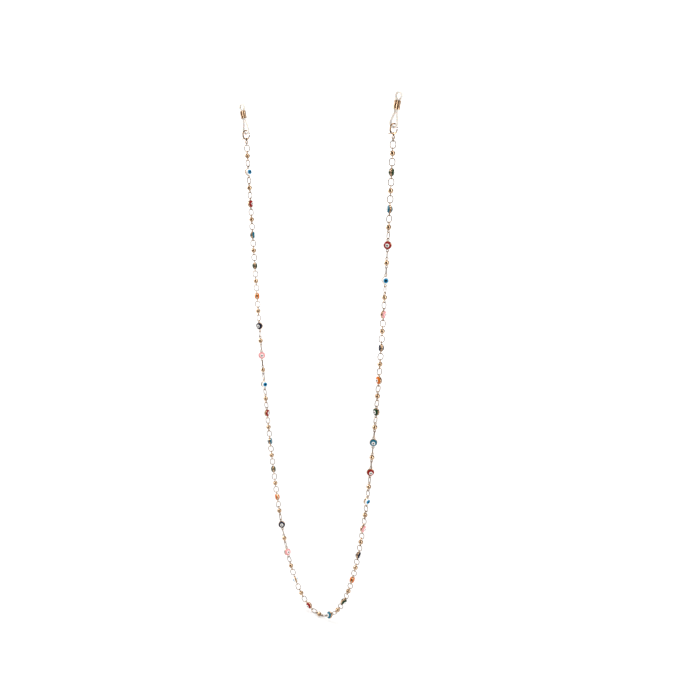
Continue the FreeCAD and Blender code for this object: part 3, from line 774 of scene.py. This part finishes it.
def clasp_place(side):
    """Centre and directions of a clasp: +X to its gate, +Z up to its hook."""
    hook = np.array(joints[f"clasp_{side}_swing"]["pos_m"]) / MM
    tail = np.array(joints[f"chain_{side}_1_bend"]["pos_m"]) / MM
    up = (hook - tail) / np.linalg.norm(hook - tail)
    out = -np.array(joints[f"lever_{side}_open"]["axis"], float)
    out = out - up * out.dot(up)
    out = out / np.linalg.norm(out)
    return hook - CORD_REST * up, np.stack([np.cross(out, up), out, up], 1)


for side in ("right", "left"):
    print(side, "clasp at", clasp_place(side)[0].round(2))

# %% [markdown]
# A lobster clasp's body is cast in one piece: a claw that thins towards its tip, a thick
# root that holds the pin, and a tail ring.  Castings have no sharp inner corners.  So the
# claw, root and tail are made as separate rounded shapes that run into each other, melted
# together with a voxel remesh, and smoothed, which rounds every corner between them.  The
# slot for the lever is milled afterwards, so it keeps its edges.

# %% Melt shapes into one casting
VOXEL = 0.07
CRISP = 35


def settled(piece):
    """Replace a piece's mesh by what its modifiers make of it."""
    graph = bpy.context.evaluated_depsgraph_get()
    mesh = bpy.data.meshes.new_from_object(piece.evaluated_get(graph))
    piece.modifiers.clear()
    piece.data = mesh
    return piece


def cast(name, shapes, rounds):
    """Shapes melted into one skin and smoothed this many times."""
    piece = mesh_object(name, joined(shapes))
    melt = piece.modifiers.new("melt", "REMESH")
    melt.mode = "VOXEL"
    melt.voxel_size = VOXEL * MM
    smooth = piece.modifiers.new("smooth", "SMOOTH")
    smooth.factor = 0.5
    smooth.iterations = rounds
    return settled(piece)


def block(low, high):
    """A box between two corners."""
    corners = [(x, y, z) for x in (low[0], high[0]) for y in (low[1], high[1])
               for z in (low[2], high[2])]
    faces = [(0, 1, 3, 2), (4, 6, 7, 5), (0, 4, 5, 1), (2, 3, 7, 6), (0, 2, 6, 4), (1, 5, 7, 3)]
    return np.array(corners, float), faces


def milled(piece, shapes):
    """Cut shapes out of a piece."""
    for number, shape in enumerate(shapes):
        cutter = mesh_object(f"cutter_{number}", shape)
        mill = piece.modifiers.new("mill", "BOOLEAN")
        mill.operation = "DIFFERENCE"
        mill.solver = "EXACT"
        mill.object = cutter
        settled(piece)
        bpy.data.objects.remove(cutter)
    return piece


def hung(piece, side):
    """Move a casting to its side's clasp and plate it.  Edges over CRISP degrees stay crisp."""
    centre, axes = clasp_place(side)
    turn = Matrix([list(row) for row in axes]).to_4x4()
    piece.data.transform(Matrix.Translation(Vector(centre) * MM) @ turn)
    piece.data.update()
    piece.data.materials.clear()
    piece.data.materials.append(SHADED_CAST_GOLD)
    piece.data.shade_smooth()
    piece.data.set_sharp_from_angle(angle=math.radians(CRISP))
    print(piece.name, "has", len(piece.data.polygons), "faces")


# %% Clasp bodies
CLAW = 2.22  # middle of the claw from its centres
CLAW_HALF = 0.7  # the two centres are this far above and below the middle
PIN = (0.6, -2.6)
PIN_HOLE = 0.23
TAIL_MIDDLE = -5.0
TAIL_RADIUS = 0.9
SLOT_HALF = 0.33


def claw():
    """The claw from its root, round the left and over the top to its tip."""
    foot = arc((0, -CLAW_HALF), CLAW, -50, -180, 22)
    top = arc((0, CLAW_HALF), CLAW, 180, 0, 26)
    tip = [[CLAW, 0, CLAW_HALF - 0.15], [CLAW - 0.02, 0, CLAW_HALF - 0.34]]
    line = np.concatenate([foot, top, tip])
    share = np.linspace(0, 1, len(line))
    radial = np.interp(share, [0, 0.35, 0.8, 0.95, 1], [0.60, 0.52, 0.47, 0.38, 0.26])
    thick = np.interp(share, [0, 0.35, 0.8, 0.95, 1], [0.68, 0.64, 0.56, 0.46, 0.34])
    return wire(line, radial, 18, across=thick)


def clasp_body():
    root = turned([(0, -0.68), (0.62, -0.68), (0.78, -0.5), (0.78, 0.5), (0.62, 0.68), (0, 0.68)],
                  28, axis="y")
    root = placed(root, (PIN[0] - 0.1, 0, PIN[1] - 0.05))
    neck = wire([[0.1, 0, -3.0], [0.05, 0, -3.6], [0, 0, -4.1], [0, 0, -4.25]],
                [0.95, 0.62, 0.42, 0.42], 16, across=[0.62, 0.52, 0.36, 0.34])
    ring = wire(arc((0, TAIL_MIDDLE), TAIL_RADIUS, 90, 438, 30), 0.3, 14, closed=True)
    return [claw(), root, neck, ring]


def lever_slot():
    """Where the lever's root turns, and where its thumb tab comes out."""
    right = block((-3.9, -SLOT_HALF, -3.22), (3.9, SLOT_HALF, -1.45))
    under = block((-3.9, -SLOT_HALF, -3.95), (0.1, SLOT_HALF, -3.0))
    return [right, under]


def pin_hole():
    hole = turned([(0, -1.5), (PIN_HOLE, -1.5), (PIN_HOLE, 1.5), (0, 1.5)], 20, axis="y")
    return placed(hole, (PIN[0], 0, PIN[1]))


for side in ("right", "left"):
    body = milled(cast(f"clasp_{side}", clasp_body(), 8), lever_slot() + [pin_hole()])
    hung(body, side)
    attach(body, f"clasp_{side}")
    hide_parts(f"clasp_body_{side}")

# %% [markdown]
# The lever is the clasp's gate.  Its arm closes the claw's open side, its root turns on the
# pin inside the slot, and a thumb tab with a flat pad sticks out on the far side.

# %% Clasp levers
def lever():
    line = [[PIN[0], 0, PIN[1]], [1.15, 0, -2.5], [1.62, 0, -2.15], [1.96, 0, -1.65],
            [2.14, 0, -1.2], [2.20, 0, -0.7], [2.21, 0, -0.3], [2.20, 0, -0.02]]
    arm = wire(line, [0.36, 0.36, 0.36, 0.36, 0.40, 0.40, 0.36, 0.28], 16,
               across=[0.25, 0.25, 0.25, 0.27, 0.46, 0.48, 0.46, 0.38])
    boss = turned([(0, -0.25), (0.44, -0.25), (0.5, -0.18), (0.5, 0.18), (0.44, 0.25), (0, 0.25)],
                  24, axis="y")
    boss = placed(boss, (PIN[0], 0, PIN[1]))
    tab = wire([[0.5, 0, -2.78], [-1.0, 0, -2.78], [-2.2, 0, -2.80], [-2.9, 0, -2.86]],
               [0.24, 0.24, 0.25, 0.25], 12, across=[0.23, 0.24, 0.27, 0.34])
    pad = turned([(0, -0.62), (0.2, -0.60), (0.34, -0.45), (0.38, 0), (0.34, 0.45), (0.2, 0.60),
                  (0, 0.62)], 18, axis="y")
    pad = placed(pad, (-2.95, 0, -2.87))
    return [arm, boss, tab, pad]


for side in ("right", "left"):
    gate = milled(cast(f"gate_lever_{side}", lever(), 4), [pin_hole()])
    hung(gate, side)
    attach(gate, f"lever_{side}")
    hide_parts(f"clasp_lever_{side}")

# %% [markdown]
# The pin is a short rod whose two ends are peened over, so each end is a low dome.  The
# return spring is an open coil of fine steel round it.

# %% Clasp pins and springs
COIL = 0.36  # middle of the spring's wire from the pin's middle
COIL_TURNS = 1.6
COIL_PITCH = 0.10


def clasp_pin():
    rod = [(0, -0.71), (0.12, -0.70), (0.2, -0.66), (0.215, -0.6)]
    rod += [(radius, -height) for radius, height in reversed(rod)]
    return placed(turned(rod, 20, axis="y"), (PIN[0], 0, PIN[1]))


def clasp_spring():
    angles = np.linspace(0, 2 * math.pi * COIL_TURNS, 48)
    along = 0.02 + COIL_PITCH * angles / (2 * math.pi)
    coil = np.stack([COIL * np.cos(angles), along, COIL * np.sin(angles)], 1)
    coil += [PIN[0], 0.0, PIN[1]]
    return wire(coil, 0.04, 8)


for side in ("right", "left"):
    centre, axes = clasp_place(side)
    pin = placed(clasp_pin(), centre, axes)
    dress(f"clasp_pin_{side}", f"peened_pin_{side}", pin, GOLD)
    spring = placed(clasp_spring(), centre, axes)
    dress(f"clasp_spring_{side}", f"return_spring_{side}", spring, STEEL)
print("pins and springs made")

# %% [markdown]
# The elastic loop is one length of round cord.  It goes over the temple arm, down side by
# side through the crimp sleeve, and spreads into a teardrop that the clasp hangs from.  Its
# line is made of arcs and straights that run into each other, and a round section is
# carried along it.  Where the cord grips the temple arm it is pressed flat.

# %% Directions of each elastic loop
def loop_place(side):
    """The middle of the temple arm, and directions with +Z up the loop's legs."""
    middle = np.array(mounts[f"temple_loop_{side}"]["pos_m"], float) / MM
    up = -np.array(joints[f"sleeve_{side}_slide"]["axis"], float)
    out = np.array([0.0, 1.0, 0.0])
    return middle, np.stack([np.cross(out, up), out, up], 1)


# %% The cord's line
ARM = mounts["temple_loop_right"]["dims"]["r_mm"]
CORD = 0.85  # half the cord's width
LAND = 0.12  # the arm presses this deep into the cord
LEG = 0.88  # each leg is this far from the middle
NECK = 1.0  # the bend above the legs
LEGS_END = -9.3
SPREAD = 3.0  # the bend below the legs
SPREAD_ANGLE = 18
LOWER = 2.65  # the bend that the clasp hangs from
BEND_ROOM = 0.4  # left straight next to each bend of a leg


def half_loop():
    """The right half of the cord's line, from the top to the bottom."""
    upper = ARM + CORD - LAND
    neck_z = -math.sqrt((upper + NECK) ** 2 - (LEG + NECK) ** 2)
    meet = math.degrees(math.atan2(neck_z, LEG + NECK))
    over = arc((0, 0), upper, 90, meet, 40)
    neck = arc((LEG + NECK, neck_z), NECK, meet + 180, 180, 8)
    leg_top, leg_foot = neck_z - BEND_ROOM, LEGS_END + BEND_ROOM
    legs = np.linspace([LEG, 0, leg_top], [LEG, 0, leg_foot], 14)
    part = arc((LEG + SPREAD, LEGS_END), SPREAD, 180, 180 + SPREAD_ANGLE, 7)
    lean = math.radians(SPREAD_ANGLE)
    slant_x = LOWER * math.cos(lean)
    slant_z = part[-1, 2] - (slant_x - part[-1, 0]) / math.tan(lean)
    slant = np.linspace(part[-1], [slant_x, 0, slant_z], 6)[1:-1]
    middle = slant_z - LOWER * math.sin(lean)
    under = arc((0, middle), LOWER, SPREAD_ANGLE, -90, 34)
    return np.concatenate([over, neck, legs, part, slant, under])


def cord_loop():
    right = half_loop()
    left = right[::-1] * [-1, 1, 1]
    points, faces = wire(np.concatenate([right, left[1:-1]]), CORD, 24, closed=True)
    near = np.hypot(points[:, 0], points[:, 2])
    press = np.where(near < ARM, ARM / np.maximum(near, 0.1), 1.0)
    points[:, 0] *= press
    points[:, 2] *= press
    return points, faces


for side in ("right", "left"):
    shape = placed(cord_loop(), *loop_place(side))
    dress(f"elastic_loop_{side}", f"silicone_loop_{side}", shape, SILICONE)
half_length = np.linalg.norm(np.diff(half_loop(), axis=0), axis=1).sum()
print("cord line is", round(2 * half_length, 1), "mm")

# %% [markdown]
# The sleeve is a strip of thin brass folded round both legs of the cord and pressed shut.
# Its two edges curl in and meet between the legs, which leaves a groove down the front.  The
# strip's corners were snipped by hand, so its lower edge is uneven there.

# %% Crimp sleeves
SLEEVE_TOP = -2.6
SLEEVE_FOOT = -7.8
SLEEVE_WALL = 0.42
SLEEVE_GAP = 0.05  # between the strip and the cord
CURL = 312  # where each edge stops, in degrees round its own leg
SNIP = 0.55  # one lower corner ends this much higher
LONG_CORNER = 0.55  # and the other lower, by this share of it
SNIP_FROM = 0.72  # share of the half width where a snip starts
RIPPLE = 0.025  # dents of the pliers
FLARE = 0.07  # opening at the two ends
EDGE = 0.05  # width of the softened edges


def strip_line(radius, count):
    """Across the folded strip, from one front edge round the back to the other."""
    outline = []
    for angle in np.linspace(CURL, 90, count):
        a = math.radians(angle)
        outline.append((-LEG + radius * math.cos(a), radius * math.sin(a)))
    outline += [(x, radius) for x in np.linspace(-LEG, LEG, 8)[1:-1]]
    mirrored = [(-x, y) for x, y in reversed(outline[:count])]
    return np.array(outline + mirrored)


def sleeve():
    inner = strip_line(CORD + SLEEVE_GAP, 20)
    outer = strip_line(CORD + SLEEVE_GAP + SLEEVE_WALL, 20)
    count = len(inner)
    across = np.linspace(-1, 1, count)
    heights = np.linspace(0, 1, 19)
    cut = np.clip((np.abs(across) - SNIP_FROM) / (1 - SNIP_FROM), 0, 1)
    snip = SNIP * cut * np.where(across < 0, 1.0, -LONG_CORNER)
    points, faces = [], []
    for skin, outline in enumerate((inner, outer)):
        for height in heights:
            ripple = RIPPLE * np.cos(across * 31 + 2 * skin) * skin
            flare = FLARE * (abs(height - 0.5) * 2) ** 6 * skin
            swell = 1 + (ripple + flare) / 1.3
            foot = SLEEVE_FOOT + snip * (1 - height) ** 3
            z = foot + (SLEEVE_TOP - foot) * height
            ring = outline * swell[:, None]
            points += [(x, y, h) for (x, y), h in zip(ring, z)]
    size = len(heights)

    def corner(skin, height, place):
        return (skin * size + height) * count + place

    for height in range(size - 1):
        for place in range(count - 1):
            for skin in (0, 1):
                faces.append((corner(skin, height, place),
                              corner(skin, height, place + 1),
                              corner(skin, height + 1, place + 1),
                              corner(skin, height + 1, place)))
        for place in (0, count - 1):
            faces.append((corner(0, height, place), corner(1, height, place),
                          corner(1, height + 1, place), corner(0, height + 1, place)))
    for place in range(count - 1):
        for height in (0, size - 1):
            faces.append((corner(0, height, place), corner(1, height, place),
                          corner(1, height, place + 1), corner(0, height, place + 1)))
    return np.array(points, float), faces


for side in ("right", "left"):
    shape = placed(sleeve(), *loop_place(side))
    piece = dress(f"crimp_sleeve_{side}", f"folded_sleeve_{side}", shape, STRIP, 50)
    edge = piece.modifiers.new("edge", "BEVEL")
    edge.width = EDGE * MM
    edge.segments = 2
    edge.limit_method = "ANGLE"
    edge.angle_limit = math.radians(50)
    print(piece.name, "made")

# %% [markdown]
# The chain hangs over a sheet of plain pale paper that curves up behind it, so there is no
# horizon.  The lowest bead is just clear of the paper.  Lamps strong enough to make paper
# white would wash out the beads, so the paper shines by itself: it gives about half its own
# brightness near the chain and all of it far away.

# %% Paper backdrop
CLEAR = 0.5  # between the lowest bead and the paper
HALF_SHEET = 2500
TURN = 39  # the sheet faces the camera


def sweep():
    """A floor that rises into a wall through a wide bend."""
    floor_z = cad_box[0].z / MM - CLEAR
    near, far, bend, high = -450, 1500, 800, 3000
    profile = [(near, floor_z), (far, floor_z)]
    profile += [(far + bend * math.sin(a), floor_z + bend * (1 - math.cos(a)))
                for a in np.radians(np.linspace(6, 90, 15))]
    profile.append((far + bend, high))
    points = [(x, y, z) for y, z in profile for x in (-HALF_SHEET, HALF_SHEET)]
    faces = [(2 * n, 2 * n + 1, 2 * n + 3, 2 * n + 2) for n in range(len(profile) - 1)]
    return np.array(points, float), faces


def paper():
    finish = Finish("white_paper")
    grain = finish.noise(4.0, 3)
    away = finish.node("ShaderNodeVectorMath", {"operation": "LENGTH"}, {0: finish.place()}, 1)
    glow = finish.mix(finish.between(away, 0.4, 1.2), rgb(0.42, 0.42, 0.42), rgb(1.0, 1.0, 1.0))
    return finish.set(
        Base_Color=finish.mix(grain, rgb(0.49, 0.49, 0.49), rgb(0.51, 0.51, 0.51)),
        Roughness=0.85 + 0.1 * grain,
        Emission_Color=glow,
        Emission_Strength=1.0,
    )


backdrop = mesh_object("backdrop", sweep())
backdrop.data.materials.append(paper())
backdrop.rotation_euler.z = math.radians(TURN)

# %% [markdown]
# Polished metal shows what is round it.  In an all white room gold beads turn white, so the
# lamps are large and soft but the room that the beads reflect is dim and brown.  Every bead
# and ring then carries a bright side and a warm dark side.  A small lamp near the chain adds
# crisp highlights.  The room is dim only to what it lights: where the sheet ends, the camera
# sees it nearly as pale as the paper.  The Standard view keeps both the pale paper and the
# strong enamel colours as set.

# %% Lamps
MIDDLE = Vector((0, 0, -0.19))  # of the whole chain, in metres


def lamp(name, place, size, power):
    """A soft lamp of a width and height in metres, aimed at the middle of the chain."""
    light = bpy.data.lights.new(name, "AREA")
    light.shape = "RECTANGLE"
    light.size, light.size_y = size
    light.energy = power
    holder = bpy.data.objects.new(name, light)
    bpy.context.scene.collection.objects.link(holder)
    holder.location = place
    holder.rotation_euler = (MIDDLE - Vector(place)).to_track_quat("-Z", "Y").to_euler()


lamp("top_lamp", (0.1, 0.1, 0.9), (1.0, 1.0), 11)
lamp("left_lamp", (-0.9, -0.9, 0.3), (0.4, 0.9), 9)
lamp("right_lamp", (1.1, -0.1, 0.2), (0.3, 0.9), 9)
lamp("near_lamp", (-0.48, -0.20, 0.25), (0.12, 0.12), 2.5)

# %% Room
room = bpy.data.worlds.new("room")
bpy.context.scene.world = room
room.use_nodes = True
parts = room.node_tree.nodes
dim = parts["Background"]
dim.inputs["Color"].default_value = (0.20, 0.14, 0.09, 1)
dim.inputs["Strength"].default_value = 0.5
pale = parts.new("ShaderNodeBackground")
pale.inputs["Color"].default_value = (0.93, 0.93, 0.93, 1)
seen = parts.new("ShaderNodeLightPath")
choice = parts.new("ShaderNodeMixShader")
join = room.node_tree.links.new
join(seen.outputs["Is Camera Ray"], choice.inputs[0])
join(dim.outputs[0], choice.inputs[1])
join(pale.outputs[0], choice.inputs[2])
join(choice.outputs[0], parts["World Output"].inputs["Surface"])

bpy.context.scene.view_settings.view_transform = "Standard"

# %% [markdown]
# The camera stands to the right of the chain, above its middle and half a metre off.  At
# that distance the near strand looks clearly larger than the far one.

# %% Camera
LOOK_DOWN = 13.47  # degrees below level
LOOK_ROUND = 39.01  # degrees to the chain's right

camera_data = bpy.data.cameras.new("camera")
camera_data.lens = 38.53
camera_data.sensor_width = 36
camera_data.clip_start = 0.01
camera = bpy.data.objects.new("camera", camera_data)
bpy.context.scene.collection.objects.link(camera)
camera.location = (0.3395, -0.3817, -0.0433)
camera.rotation_euler = (math.radians(90 - LOOK_DOWN), 0, math.radians(LOOK_ROUND))
bpy.context.scene.camera = camera
